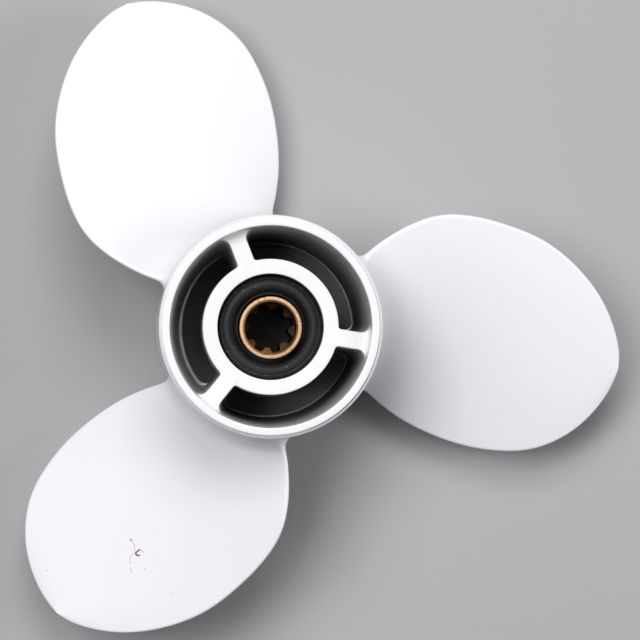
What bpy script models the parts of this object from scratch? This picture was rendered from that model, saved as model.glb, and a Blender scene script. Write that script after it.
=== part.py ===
"""Small three-blade boat propeller with exhaust through the hub, standing on its aft end.

Metres, +Z towards the bow. The shaft axis is the Z axis, and the origin on it is the part's centre
of mass. Heights in this file are measured from the blade line, the level at which the middle of a
blade leaves the hub, and the empty that carries everything lowers them to the origin.
"""

from math import asin, atan2, cos, hypot, pi, radians, sin, sqrt, tan

import bmesh
import bpy
from mathutils import Matrix, Vector

# The frame
BLADE_LINE_HEIGHT = -0.0019      # of the blade line, above the part's origin
HUB_FACETS = 72                  # round the casting
SMALL_FACETS = 48                # round the bush and the sleeve

# The blades
BLADES = 3
TIP_RADIUS = 0.1175
PITCH = 0.2286                   # advance in one turn, right-handed
RAKE = radians(4.1)              # lean of the blades towards the stern
FIRST_BLADE = 0.0                # angle of the first blade's middle, degrees
EDGE_RADIUS = 0.0010             # of the rounded rim of a blade
ROOT_THICKNESS = 0.0078
TIP_THICKNESS = 0.0030
ROOT_FILLET = 0.0050             # between a blade's sides and the barrel
EDGE_FILLET = 0.0030             # between a blade's edges and the barrel
FILLET_SHARE = 0.85              # of a fillet's size, the part over which it spreads
ROOT_STATIONS = [-0.0019, 0.0003, 0.0012]            # of the first sections, from the barrel
CHORD_STEPS = 10
SPAN_STEPS = 13

# The outline of a blade seen along the shaft, as radius in metres and angle in degrees
LEADING_EDGE = [(0.0384, 38.0), (0.0458, 38.3), (0.0575, 36.8), (0.0690, 33.2),
                (0.0845, 24.6), (0.0976, 16.8), (0.1093, 7.5), (0.1158, -0.2)]
TIP = (0.1175, -5.4)
TRAILING_EDGE = [(0.0384, -31.1), (0.0465, -32.7), (0.0565, -32.9), (0.0718, -30.8),
                 (0.0862, -27.4), (0.0981, -23.3), (0.1079, -17.5), (0.1146, -11.0)]

# The barrel, the outer tube of the hub
FRONT_HEIGHT = 0.0450            # of the front rim above the blade line
AFT_HEIGHT = -0.0380             # of the aft rim, on which the propeller stands
FRONT_LIP_RADIUS = 0.0346        # outer edge of the front rim's flat face
SHOULDER_RADIUS = 0.0357         # of the barrel just behind the front rim
WAIST_RADIUS = 0.0359            # of the barrel at the blade line
FLARE_RADIUS = 0.0380            # of the barrel at the aft rim
RIM_INNER_RADIUS = 0.0322        # inside of the front rim
AFT_INNER_RADIUS = 0.0350        # inside of the aft rim
RECESS_DEPTH = 0.0062            # from the front rim to the faces of the ribs and the inner hub
RECESS_FILLET = 0.0019
LIP_HEIGHT = 0.0017              # of the step between the front rim and the shoulder
SHOULDER_ROUNDING = 0.0008
EDGE_ROUNDING = 0.0005           # of the hub's other edges
AFT_MOUTH_DEPTH = 0.0055         # of the widening of the aft recess at its mouth
AFT_MOUTH_TAPER = 0.0020
BARREL_STATIONS = [0.030, 0.015, 0.0, -0.010, -0.018, -0.025, -0.031]    # heights along its outside

# The inner hub and the ribs
INNER_HUB_RADIUS = 0.0217        # outside of the inner hub at its front face
BUSH_BORE_RADIUS = 0.0170
HUB_AFT_HEIGHT = -0.0240         # of the aft faces of the inner hub and the ribs
RIB_THICKNESS = 0.0055
FIRST_RIB = -8.1                 # angle of the first rib, degrees
PARTING_HEIGHT = -0.0170         # where the front and aft cores of a passage met
PARTING_OUTER_RADIUS = 0.0291    # of a passage there, its narrowest place
PARTING_INNER_RADIUS = 0.0224
AFT_OUTER_RADIUS = 0.0300        # of a passage at the aft faces
OUTER_CORNER = 0.0027            # corner radii of a passage
INNER_CORNER = 0.0006
LEDGE = 0.0003                   # step where a passage meets the recess
CUTTER_OVERRUN = 0.0030          # how far a cutter reaches past what it cuts

# The bush and the sleeve
GAP = 0.0003                     # between neighbouring pieces
SLEEVE_RADIUS = 0.0100
SLEEVE_FRONT_HEIGHT = 0.0392
SLEEVE_AFT_HEIGHT = -0.0262
SLEEVE_CHAMFER = 0.0004
COUNTERBORE_RADIUS = 0.0086
COUNTERBORE_DEPTH = 0.0260
COUNTERBORE_SLOPE = 0.0008       # rise of the counterbore's floor from the teeth to its wall
SPLINE_TEETH = 8
SPLINE_OUTER_RADIUS = 0.0083     # between the teeth
SPLINE_INNER_RADIUS = 0.0063     # at the tips of the teeth
TOOTH_TIP_WIDTH = 0.0018
TOOTH_BASE_WIDTH = 0.0034
FIRST_TOOTH = -4.5               # degrees
BUSH_FRONT_HEIGHT = 0.0345       # of the bush's rounded crest
BUSH_AFT_HEIGHT = -0.0215
BUSH_CREST = 0.0022              # height of the crests over the edges of the bush

# Colours, as linear red, green and blue
WHITE_PAINT = (0.86, 0.86, 0.87, 1.0)
BLACK_RUBBER = (0.018, 0.018, 0.019, 1.0)
SLEEVE_METAL = (0.70, 0.43, 0.22, 1.0)


def clear_scene():
    """Remove what a new Blender file holds."""
    for thing in list(bpy.data.objects):
        bpy.data.objects.remove(thing, do_unlink=True)


def new_collection(name):
    """A collection of the scene."""
    group = bpy.data.collections.new(name)
    bpy.context.scene.collection.children.link(group)
    return group


def new_material(name, colour, roughness, metallic):
    """A Principled material."""
    material = bpy.data.materials.new(name)
    material.use_nodes = True
    shader = material.node_tree.nodes["Principled BSDF"]
    shader.inputs["Base Color"].default_value = colour
    shader.inputs["Roughness"].default_value = roughness
    shader.inputs["Metallic"].default_value = metallic
    material.diffuse_color = colour
    return material


def new_object(name, mesh, group, parent, material=None):
    """An object of the mesh, in its collection and on its parent."""
    thing = bpy.data.objects.new(name, mesh)
    group.objects.link(thing)
    thing.parent = parent
    if material:
        mesh.materials.append(material)
    return thing


def arc(centre, radius, start, end, steps):
    """Points on an arc, from one angle in radians to another."""
    turn = (end - start) / steps
    return [(centre[0] + radius * cos(start + turn * i), centre[1] + radius * sin(start + turn * i))
            for i in range(steps + 1)]


def polar(radius, angle):
    """The point at an angle in radians."""
    return (radius * cos(angle), radius * sin(angle))


def turned(name, profile, facets, group, parent, material):
    """A ring turned from a closed profile of radius and height, which runs down its outer side."""
    mesh = bpy.data.meshes.new(name)
    count = len(profile)
    edges = [(i, (i + 1) % count) for i in range(count)]
    mesh.from_pydata([(radius, 0.0, height) for radius, height in profile], edges, [])
    ring = new_object(name, mesh, group, parent, material)
    screw = ring.modifiers.new("turn", 'SCREW')
    screw.steps = facets
    screw.render_steps = facets
    screw.use_merge_vertices = True
    screw.merge_threshold = 0.00001
    screw.use_smooth_shade = True
    return ring


def loft(name, sections, group, parent, material=None):
    """A closed solid through flat sections of equal point counts, from the lowest to the highest."""
    shape = bmesh.new()
    rings = [[shape.verts.new(point) for point in section] for section in sections]
    count = len(rings[0])
    for low, high in zip(rings, rings[1:]):
        for i in range(count):
            j = (i + 1) % count
            shape.faces.new((low[i], low[j], high[j], high[i]))
    shape.faces.new(reversed(rings[0]))
    shape.faces.new(rings[-1])
    mesh = bpy.data.meshes.new(name)
    shape.to_mesh(mesh)
    shape.free()
    return new_object(name, mesh, group, parent, material)


def combine(target, tool, operation):
    """Cut a tool from the target, or join it to the target."""
    boolean = target.modifiers.new(f"{operation.lower()} {tool.name}", 'BOOLEAN')
    boolean.operation = operation
    boolean.object = tool
    tool.hide_render = True
    tool.display_type = 'WIRE'


def recess_radius(height):
    """The inner wall of the barrel from the front rim down to the parting line."""
    share = (height - PARTING_HEIGHT) / (FRONT_HEIGHT - PARTING_HEIGHT)
    return PARTING_OUTER_RADIUS + LEDGE + share * (RIM_INNER_RADIUS - PARTING_OUTER_RADIUS - LEDGE)


def passage_radius(height):
    """The outer wall of a passage: it narrows to the parting line and opens again behind it."""
    if height >= PARTING_HEIGHT:
        return recess_radius(height) - LEDGE
    share = (PARTING_HEIGHT - height) / (PARTING_HEIGHT - HUB_AFT_HEIGHT)
    return PARTING_OUTER_RADIUS + share * (AFT_OUTER_RADIUS - PARTING_OUTER_RADIUS)


def core_radius(height):
    """The inner wall of a passage: the inner hub is thickest at the parting line."""
    face = FRONT_HEIGHT - RECESS_DEPTH
    if height >= PARTING_HEIGHT:
        share = (height - PARTING_HEIGHT) / (face - PARTING_HEIGHT)
    else:
        share = (PARTING_HEIGHT - height) / (PARTING_HEIGHT - HUB_AFT_HEIGHT) / 2
    return PARTING_INNER_RADIUS + share * (INNER_HUB_RADIUS - PARTING_INNER_RADIUS)


def barrel_radius(height):
    """The outside of the barrel: straight at the front, with a flare behind the blade line."""
    if height >= 0.0:
        share = height / FRONT_HEIGHT
        return WAIST_RADIUS + share * (SHOULDER_RADIUS - WAIST_RADIUS)
    share = height / AFT_HEIGHT
    return WAIST_RADIUS + share ** 2 * (FLARE_RADIUS - WAIST_RADIUS)


def rounded(corners, steps):
    """A closed outline whose corners, each a radius, a height and a rounding, are turned into arcs."""
    outline = []
    count = len(corners)
    for i, (radius, height, rounding) in enumerate(corners):
        corner = Vector((radius, height))
        if not rounding:
            outline.append(tuple(corner))
            continue
        before = (Vector(corners[i - 1][:2]) - corner).normalized()
        after = (Vector(corners[(i + 1) % count][:2]) - corner).normalized()
        half_angle = before.angle(after) / 2
        centre = corner + (before + after).normalized() * rounding / sin(half_angle)
        start = corner + before * rounding / tan(half_angle) - centre
        end = corner + after * rounding / tan(half_angle) - centre
        turn = atan2(start.cross(end), start.dot(end))
        for step in range(steps + 1):
            outline.append(tuple(centre + Matrix.Rotation(turn * step / steps, 2) @ start))
    return outline


def hub_profile():
    """The section of the casting's turned hub: front lip and shoulder, barrel, aft recess, bush bore
    and front recess."""
    face = FRONT_HEIGHT - RECESS_DEPTH
    corners = [(FRONT_LIP_RADIUS, FRONT_HEIGHT, EDGE_ROUNDING),
               (FRONT_LIP_RADIUS, FRONT_HEIGHT - LIP_HEIGHT, 0.0),
               (SHOULDER_RADIUS, FRONT_HEIGHT - LIP_HEIGHT, SHOULDER_ROUNDING)]
    corners += [(barrel_radius(height), height, 0.0) for height in BARREL_STATIONS]
    corners += [(FLARE_RADIUS, AFT_HEIGHT, EDGE_ROUNDING), (AFT_INNER_RADIUS, AFT_HEIGHT, EDGE_ROUNDING),
                (AFT_INNER_RADIUS - AFT_MOUTH_TAPER, AFT_HEIGHT + AFT_MOUTH_DEPTH, 0.0),
                (AFT_OUTER_RADIUS + 2 * LEDGE, HUB_AFT_HEIGHT, 0.0),
                (BUSH_BORE_RADIUS, HUB_AFT_HEIGHT, EDGE_ROUNDING), (BUSH_BORE_RADIUS, face, EDGE_ROUNDING),
                (recess_radius(face), face, RECESS_FILLET),
                (RIM_INNER_RADIUS, FRONT_HEIGHT, EDGE_ROUNDING)]
    return rounded(corners, 3)


def passage_outline(height):
    """The rounded section of the first exhaust passage, between two ribs, seen from the front."""
    outer = passage_radius(height)
    inner = core_radius(height)
    half_rib = RIB_THICKNESS / 2
    side = pi / BLADES
    outer_turn = asin((half_rib + OUTER_CORNER) / (outer - OUTER_CORNER))
    inner_turn = asin((half_rib + INNER_CORNER) / (inner + INNER_CORNER))
    outer_arc = arc((0.0, 0.0), outer, 0.0, side - outer_turn, 12)
    outer_corner = arc(polar(outer - OUTER_CORNER, side - outer_turn), OUTER_CORNER,
                       side - outer_turn, side + pi / 2, 5)
    inner_corner = arc(polar(inner + INNER_CORNER, side - inner_turn), INNER_CORNER,
                       side + pi / 2, side - inner_turn + pi, 3)
    inner_arc = arc((0.0, 0.0), inner, side - inner_turn, 0.0, 10)
    half = outer_arc[:-1] + outer_corner + inner_corner + inner_arc[1:]
    mirrored = [(x, -y) for x, y in reversed(half[1:-1])]
    return [Vector((x, y, height)) for x, y in half + mirrored]


def passage_cutter(index, group, parent):
    """The core that leaves one exhaust passage open."""
    face = FRONT_HEIGHT - RECESS_DEPTH
    heights = [HUB_AFT_HEIGHT - CUTTER_OVERRUN, HUB_AFT_HEIGHT, PARTING_HEIGHT, face, face + CUTTER_OVERRUN]
    cutter = loft(f"passage_{index + 1}", [passage_outline(height) for height in heights], group, parent)
    cutter.rotation_euler.z = radians(FIRST_RIB) + (2 * index + 1) * pi / BLADES
    return cutter


def smooth_line(points, beyond, samples):
    """Points spread evenly by number along a smooth curve through the given ones, which would run
    on to the point beyond them."""
    padded = [tuple(2 * a - b for a, b in zip(points[0], points[1]))] + points + [beyond]
    line = []
    for i in range(samples + 1):
        place = i / samples * (len(points) - 1)
        start = min(int(place), len(points) - 2)
        t = place - start
        p0, p1, p2, p3 = padded[start:start + 4]
        line.append(tuple(0.5 * (2 * b + (c - a) * t + (2 * a - 5 * b + 4 * c - d) * t * t
                                 + (3 * b - a - 3 * c + d) * t ** 3)
                          for a, b, c, d in zip(p0, p1, p2, p3)))
    return line


def fillet_growth(clearance, size):
    """How far a blade's root spreads at a distance from the barrel, as a fillet of some size."""
    reach = min(max(size - clearance, 0.0), FILLET_SHARE * size)
    return size - sqrt(size ** 2 - reach ** 2)


def blade_point(radius, angle, offset):
    """A point beside the blade's middle surface, a raked helicoid, at an offset across it. The
    offset is laid out on the unrolled cylinder of the radius, as propeller sections are drawn."""
    advance = PITCH / (2 * pi)
    slant = hypot(radius, advance)
    around = angle - offset * advance / slant / radius
    height = advance * angle - tan(RAKE) * (radius - WAIST_RADIUS) + offset * radius / slant
    return Vector((radius * cos(around), radius * sin(around), height))


def blade_section(lead, trail):
    """The points of a blade's section from its leading edge to its trailing edge, front side first."""
    middle_radius = (lead[0] + trail[0]) / 2
    clearance = middle_radius - WAIST_RADIUS
    share = max(clearance, 0.0) / (TIP_RADIUS - WAIST_RADIUS)
    middle = (ROOT_THICKNESS + share * (TIP_THICKNESS - ROOT_THICKNESS)) / 2
    spread = fillet_growth(clearance, ROOT_FILLET)
    reach = fillet_growth(clearance, EDGE_FILLET)
    slant = hypot(middle_radius, PITCH / (2 * pi))
    chord = slant * radians(lead[1] - trail[1]) / 2 + reach
    edge = min(EDGE_RADIUS + spread, chord)
    front = []
    back = []
    for i in range(CHORD_STEPS + 1):
        place = cos(pi * i / CHORD_STEPS)
        radius = middle_radius + place * (lead[0] - trail[0]) / 2
        angle = radians(lead[1] + trail[1]) / 2 + place * chord / slant
        depth = min(chord * (1 - abs(place)), edge)
        rounding = sqrt(max(2 * edge * depth - depth ** 2, 0.0))
        half = rounding + max(middle - EDGE_RADIUS, 0.0) * (1 - place ** 2)
        front.append(blade_point(radius, angle, half))
        back.append(blade_point(radius, angle, -half))
    return front, back


def blade_edge(points, other_edge):
    """An edge of the blade, from inside the barrel's wall through the fillet and on to the tip,
    where it runs smoothly into the other edge."""
    root = [(WAIST_RADIUS + clearance, points[0][1]) for clearance in ROOT_STATIONS]
    return root + smooth_line(points + [TIP], other_edge[-1], SPAN_STEPS)[:-1]


def blade_mesh():
    """A blade lofted from inside the barrel's wall to its tip."""
    shape = bmesh.new()
    loops = []
    leading = blade_edge(LEADING_EDGE, TRAILING_EDGE)
    trailing = blade_edge(TRAILING_EDGE, LEADING_EDGE)
    for lead, trail in zip(leading, trailing):
        front, back = blade_section(lead, trail)
        loops.append([shape.verts.new(point) for point in front + back[-2:0:-1]])
    count = len(loops[0])
    for inner, outer in zip(loops, loops[1:]):
        for i in range(count):
            j = (i + 1) % count
            shape.faces.new((inner[i], outer[i], outer[j], inner[j]))
    for i in range(CHORD_STEPS):
        corners = [loops[0][i], loops[0][i + 1], loops[0][-i - 1], loops[0][-i % count]]
        shape.faces.new(list(dict.fromkeys(corners)))
    tip = shape.verts.new(blade_point(TIP[0], radians(TIP[1]), 0.0))
    for i in range(count):
        shape.faces.new((loops[-1][i], tip, loops[-1][(i + 1) % count]))
    bmesh.ops.recalc_face_normals(shape, faces=shape.faces)
    mesh = bpy.data.meshes.new("blade")
    shape.to_mesh(mesh)
    shape.free()
    return mesh


def propeller_casting(parts, cutters, shaft, material):
    """The one casting: barrel, ribs and inner hub with the blades on them."""
    casting = turned("propeller_casting", hub_profile(), HUB_FACETS, parts, shaft, material)
    for index in range(BLADES):
        combine(casting, passage_cutter(index, cutters, shaft), 'DIFFERENCE')
    mesh = blade_mesh()
    for index in range(BLADES):
        blade = new_object(f"blade_{index + 1}", mesh, cutters, shaft)
        blade.rotation_euler.z = radians(FIRST_BLADE) + index * 2 * pi / BLADES
        combine(casting, blade, 'UNION')
    return casting


def rubber_bush(parts, shaft, material):
    """The bush that drives the casting, with a rounded crest round each end."""
    inner = SLEEVE_RADIUS + GAP
    outer = BUSH_BORE_RADIUS - GAP
    steps = 6
    width = outer - inner
    crest = [(inner + width * i / steps, BUSH_CREST * sin(pi * i / steps)) for i in range(steps + 1)]
    front = [(radius, BUSH_FRONT_HEIGHT - BUSH_CREST + rise) for radius, rise in crest]
    aft = [(radius, BUSH_AFT_HEIGHT + BUSH_CREST - rise) for radius, rise in reversed(crest)]
    return turned("rubber_bush", front + aft, SMALL_FACETS, parts, shaft, material)


def tooth_space_outline(height):
    """The section of the sleeve's splined hole: a circle with the teeth left standing in it."""
    outline = []
    half_tip = TOOTH_TIP_WIDTH / 2 / SPLINE_INNER_RADIUS
    half_base = TOOTH_BASE_WIDTH / 2 / SPLINE_OUTER_RADIUS
    step = 2 * pi / SPLINE_TEETH
    for tooth in range(SPLINE_TEETH):
        middle = radians(FIRST_TOOTH) + tooth * step
        outline += arc((0.0, 0.0), SPLINE_INNER_RADIUS, middle - half_tip, middle + half_tip, 2)
        outline += arc((0.0, 0.0), SPLINE_OUTER_RADIUS, middle + half_base, middle + step - half_base, 5)
    return [Vector((x, y, height)) for x, y in outline]


def splined_sleeve(parts, cutters, shaft, material):
    """The metal sleeve in the bush, with a plain counterbore and a spline behind it."""
    edge = SLEEVE_RADIUS - SLEEVE_CHAMFER
    hole = SPLINE_INNER_RADIUS - 2 * GAP
    floor = SLEEVE_FRONT_HEIGHT - COUNTERBORE_DEPTH
    profile = [(COUNTERBORE_RADIUS, SLEEVE_FRONT_HEIGHT), (edge, SLEEVE_FRONT_HEIGHT),
               (SLEEVE_RADIUS, SLEEVE_FRONT_HEIGHT - SLEEVE_CHAMFER),
               (SLEEVE_RADIUS, SLEEVE_AFT_HEIGHT + SLEEVE_CHAMFER), (edge, SLEEVE_AFT_HEIGHT),
               (hole, SLEEVE_AFT_HEIGHT), (hole, floor), (COUNTERBORE_RADIUS, floor + COUNTERBORE_SLOPE)]
    sleeve = turned("splined_sleeve", profile, SMALL_FACETS, parts, shaft, material)
    heights = [SLEEVE_AFT_HEIGHT - CUTTER_OVERRUN, floor + CUTTER_OVERRUN]
    spline = loft("spline", [tooth_space_outline(height) for height in heights], cutters, shaft)
    combine(sleeve, spline, 'DIFFERENCE')
    return sleeve


def build():
    """Model the propeller."""
    clear_scene()
    parts = new_collection("boat_propeller")
    cutters = new_collection("cutters")
    shaft = bpy.data.objects.new("shaft_axis", None)
    shaft.location.z = BLADE_LINE_HEIGHT
    parts.objects.link(shaft)
    propeller_casting(parts, cutters, shaft, new_material("white_paint", WHITE_PAINT, 0.22, 0.0))
    rubber_bush(parts, shaft, new_material("black_rubber", BLACK_RUBBER, 0.55, 0.0))
    splined_sleeve(parts, cutters, shaft, new_material("sleeve_metal", SLEEVE_METAL, 0.35, 1.0))


build()
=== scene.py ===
"""Looks of a small three-blade boat propeller that stands on its aft end.

Metres, +Z towards the bow. Heights are measured from the blade line, the level at which the middle
of a blade leaves the hub, and BLADE_LINE is that level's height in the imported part's frame.
"""

from math import asin, atan2, cos, hypot, pi, radians, sin, sqrt, tan

import bmesh
import bpy
from mathutils import Matrix, Vector
from mathutils.bvhtree import BVHTree


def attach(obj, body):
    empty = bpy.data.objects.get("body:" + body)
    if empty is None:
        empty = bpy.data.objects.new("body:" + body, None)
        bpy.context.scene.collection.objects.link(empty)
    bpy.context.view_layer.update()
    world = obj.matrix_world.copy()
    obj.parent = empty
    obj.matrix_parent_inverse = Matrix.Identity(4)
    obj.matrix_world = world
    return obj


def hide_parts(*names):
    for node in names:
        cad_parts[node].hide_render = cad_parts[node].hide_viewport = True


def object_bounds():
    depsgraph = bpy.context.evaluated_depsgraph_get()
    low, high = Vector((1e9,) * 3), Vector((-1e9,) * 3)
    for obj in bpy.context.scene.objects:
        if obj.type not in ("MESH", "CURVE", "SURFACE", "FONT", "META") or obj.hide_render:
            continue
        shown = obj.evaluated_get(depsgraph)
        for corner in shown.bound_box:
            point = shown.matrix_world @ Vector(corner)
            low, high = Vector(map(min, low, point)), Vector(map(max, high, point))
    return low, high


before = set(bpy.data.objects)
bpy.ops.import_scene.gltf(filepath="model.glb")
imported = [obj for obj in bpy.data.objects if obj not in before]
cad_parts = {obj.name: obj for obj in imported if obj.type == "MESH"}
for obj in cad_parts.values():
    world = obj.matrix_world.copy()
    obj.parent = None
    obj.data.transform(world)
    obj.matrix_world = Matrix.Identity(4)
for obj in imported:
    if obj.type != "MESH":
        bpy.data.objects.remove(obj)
CAD_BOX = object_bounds()

# Blades
BLADES = 3
TIP_RADIUS = 0.1175
PITCH = 0.2286                   # advance in one turn, right-handed
RAKE = radians(4.1)
FIRST_BLADE = 0.0                # degrees
EDGE_RADIUS = 0.0007
ROOT_THICKNESS = 0.0078
TIP_THICKNESS = 0.0030
ROOT_FILLET = 0.0050
EDGE_FILLET = 0.0030
LEADING_EDGE = [(0.0384, 38.0), (0.0458, 38.3), (0.0575, 36.8), (0.0690, 33.2),
                (0.0845, 24.6), (0.0976, 16.8), (0.1093, 7.5), (0.1158, -0.2)]
TIP = (0.1175, -5.4)
TRAILING_EDGE = [(0.0384, -31.1), (0.0465, -32.7), (0.0565, -32.9), (0.0718, -30.8),
                 (0.0862, -27.4), (0.0981, -23.3), (0.1079, -17.5), (0.1146, -11.0)]
ROOT_DEPTH = 0.0019              # by which a blade starts inside the barrel's surface
FILLET_SHARE = 0.985             # of a fillet's size, up to which it is followed
CHORD_STEPS = 44
SPAN_STEPS = 70
FILLET_STEPS = 12

# Barrel
FRONT_HEIGHT = 0.0450
AFT_HEIGHT = -0.0380
FRONT_LIP_RADIUS = 0.0346
LIP_HEIGHT = 0.0017
LIP_ROUNDING = 0.0004
GROOVE_WIDTH = 0.00040           # of the groove round the lip's foot
GROOVE_DEPTH = 0.0007
GROOVE_BOTTOM = 0.3              # place of its bottom, as a share of its width
GROOVE_ROUNDING = 0.00005        # of its bottom
GROOVE_EDGE_ROUNDING = 0.0001
SHOULDER_SLOPE = 0.0009          # height of the slope outside the groove
SHOULDER_ROUNDING = 0.0008
SHOULDER_RADIUS = 0.0357
WAIST_RADIUS = 0.0359
FLARE_RADIUS = 0.0380
RIM_INNER_RADIUS = 0.0322
RIM_ROUNDING = 0.0005            # of the inner edge, in front and aft
AFT_INNER_RADIUS = 0.0350
AFT_RIM_ROUNDING = 0.0006        # of the outer edge
AFT_SLOPE_WIDTH = 0.0020         # of the slope inside the aft rim
AFT_SLOPE_HEIGHT = 0.0055
SIDE_MARGIN = 0.003              # from the barrel's ends to the first points of its side
SIDE_STEPS = 24
ROUNDING_STEPS = 8
RECESS_DEPTH = 0.0062
RECESS_FILLET = 0.0019
FACE_HEIGHT = FRONT_HEIGHT - RECESS_DEPTH

# Inner hub, ribs and passages
INNER_HUB_RADIUS = 0.0217
BUSH_BORE_RADIUS = 0.0170
BORE_FRONT_ROUNDING = 0.0004
BORE_AFT_ROUNDING = 0.0005
HUB_AFT_HEIGHT = -0.0240
RIB_THICKNESS = 0.0055
FIRST_RIB = -8.1                 # degrees
PARTING_HEIGHT = -0.0170
PARTING_OUTER_RADIUS = 0.0291
PARTING_INNER_RADIUS = 0.0224
AFT_OUTER_RADIUS = 0.0300
OUTER_CORNER = 0.0027
INNER_CORNER = 0.0010
LEDGE = 0.00005                  # between the recess's wall and the passages' outer walls
MOUTH_ROUNDING = 0.0003
MOUTH_STEPS = 3
RIB_DRAFT = 0.0009               # on each side of a rib, down to the parting line
CORE_LEAN = Vector((-0.00050, -0.00040))             # of each front core, at the parting line
PARTING_STEP = 0.00045           # by which an aft core is smaller than the front one
PARTING_SHIFTS = [Vector((0.00010, 0.00028)), Vector((0.00045, 0.00025)),
                  Vector((0.00010, -0.00012))]       # of each aft core against the front one
PARTING_GAP = 0.00005            # half the height between the ends of the two cores
AFT_CORE_STEPS = 4
FRONT_CORE_STEPS = 8
CORE_OVERRUN = 0.0030            # by which the cores reach past the inner hub's ends
OUTER_ARC_STEPS = 44
OUTER_CORNER_STEPS = 12
INNER_CORNER_STEPS = 6
INNER_ARC_STEPS = 40

# Bush and sleeve
SLEEVE_RADIUS = 0.0100
SLEEVE_OFFSET = -0.00025         # along Y: the rubber holds the sleeve a little off the axis
SLEEVE_FRONT_HEIGHT = 0.0392
SLEEVE_AFT_HEIGHT = -0.0262
COUNTERBORE_RADIUS = 0.0083
COUNTERBORE_DEPTH = 0.0260
COUNTERBORE_BEVEL = 0.0008       # height of the slope at its bottom
MOUTH_CHAMFER = 0.0006
MOUTH_INNER_ROUNDING = 0.0002
MOUTH_OUTER_ROUNDING = 0.0001
SLEEVE_FRONT_ROUNDING = 0.0003
SLEEVE_AFT_ROUNDING = 0.0004
SLEEVE_ROUNDING_STEPS = 6
SPLINE_TEETH = 8
SPLINE_OUTER_RADIUS = 0.0081
SPLINE_INNER_RADIUS = 0.0063
TOOTH_TIP_WIDTH = 0.0010
TOOTH_BASE_WIDTH = 0.0043
FLANK_ROUNDNESS = 0.15
FLANK_STEPS = 10
TOOTH_TIP_STEPS = 6
TOOTH_SPACE_STEPS = 8
FIRST_TOOTH = -4.5               # degrees
TURNED_HOLE_MARGIN = 0.0010      # by which the hole is narrower than the spline before that is cut
SPLINE_OVERRUN = 0.002           # by which its cutter is longer at each end
BUSH_FRONT_HEIGHT = 0.0345
BUSH_AFT_HEIGHT = -0.0215
# The bush's front end as radius and height below its crest: groove, crest, thin lip and slope
BUSH_SECTION = [(0.0104, -0.0042), (0.0105, -0.0036), (0.0107, -0.0034), (0.0110, -0.0036),
                (0.0114, -0.0030), (0.0119, -0.0016), (0.0125, -0.0007), (0.0132, -0.0002),
                (0.0138, 0.0), (0.0144, -0.0001), (0.0150, -0.0004), (0.0155, -0.0010),
                (0.0158, -0.0010), (0.0161, -0.0014), (0.0165, -0.0024), (0.0169, -0.0036)]
BUSH_SECTION_BEYOND = (0.0170, -0.0042)
BUSH_SAMPLES = 90

FACETS = 256                     # round the casting
BUSH_FACETS = 192
SLEEVE_FACETS = 192
CREASE = radians(38)             # an edge sharper than this is shaded as an edge
BLADE_LINE = CAD_BOX[1].z - FRONT_HEIGHT
FLOOR_HEIGHT = CAD_BOX[0].z

# The camera, as fitted to the outlines of the three blades in the photo
CAMERA_PLACE = Vector((-0.02075, -0.01192, 1.18823))
CAMERA_TURN = Vector((0.01223, -0.03183, 0.01645))    # rotation vector from straight down, radians
FOCAL_LENGTH = 202.5
SENSOR_WIDTH = 36.0
CLIP_END = 20.0

# Soft square lamps as name, azimuth and elevation in degrees, and power in watts
LAMPS = [("top", 90.0, 60.0, 10.4),
         ("right", 0.0, 40.0, 7.5),
         ("left", 160.0, 70.0, 11.8),
         ("overhead", 110.0, 75.0, 2.1),
         ("low_left", 190.0, 15.0, 0.5)]
LAMP_DISTANCE = 1.5
LAMP_SIZE = 0.6
WORLD_COLOUR = (1.0, 0.95, 0.96, 1.0)
WORLD_STRENGTH = 0.06
FLOOR_SIZE = 3.0                 # half its width
FLOOR_CLEARANCE = 0.0002
FLOOR_COLOUR = (0.38, 0.38, 0.39, 1.0)
FLOOR_ROUGHNESS = 0.8

# Marks in the paint of the third blade: half widths, and places as radius and angle in degrees
MARKED_BLADE = 2
DARK_STREAKS = [(0.00020, [(0.08319, -2.31), (0.08343, -1.72)])]
BROWN_STREAKS = [(0.00026, [(0.08433, 0.85), (0.08500, 0.65), (0.08623, 0.40), (0.08657, 0.98),
                            (0.08604, 1.44)])]
FAINT_STREAKS = [(0.00009, [(0.08343, -1.72), (0.08412, -0.74), (0.08519, -0.16), (0.08619, 0.24)]),
                 (0.00010, [(0.08433, 0.85), (0.08440, 1.54), (0.08492, 2.07)]),
                 (0.00011, [(0.08622, 0.20), (0.08793, -0.17), (0.08884, -0.08), (0.09008, 0.64)]),
                 (0.00011, [(0.09096, 0.91), (0.09161, 1.30), (0.09228, 1.79)]),
                 (0.00013, [(0.08907, 3.52), (0.08942, 4.12)])]
SPECKS = [(0.00024, 0.08412, -0.74),
          (0.00018, 0.10890, -11.38),
          (0.00020, 0.09287, 10.75),
          (0.00020, 0.05041, 22.55),
          (0.00026, 0.08604, 1.44)]
SPECK_HALF_ANGLE = 0.06          # degrees
STREAK_SIDES = 8
STREAK_STEPS = 4                 # between two of its places
STREAK_END = 0.35                # share of its width at the ends
STREAK_HEIGHT = 0.5              # share of its width
DARK_MARK = (0.06, 0.05, 0.045, 1.0)
BROWN_MARK = (0.10, 0.06, 0.055, 1.0)
FAINT_MARK = (0.42, 0.38, 0.40, 1.0)
MARK_ROUGHNESS = 0.6

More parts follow.
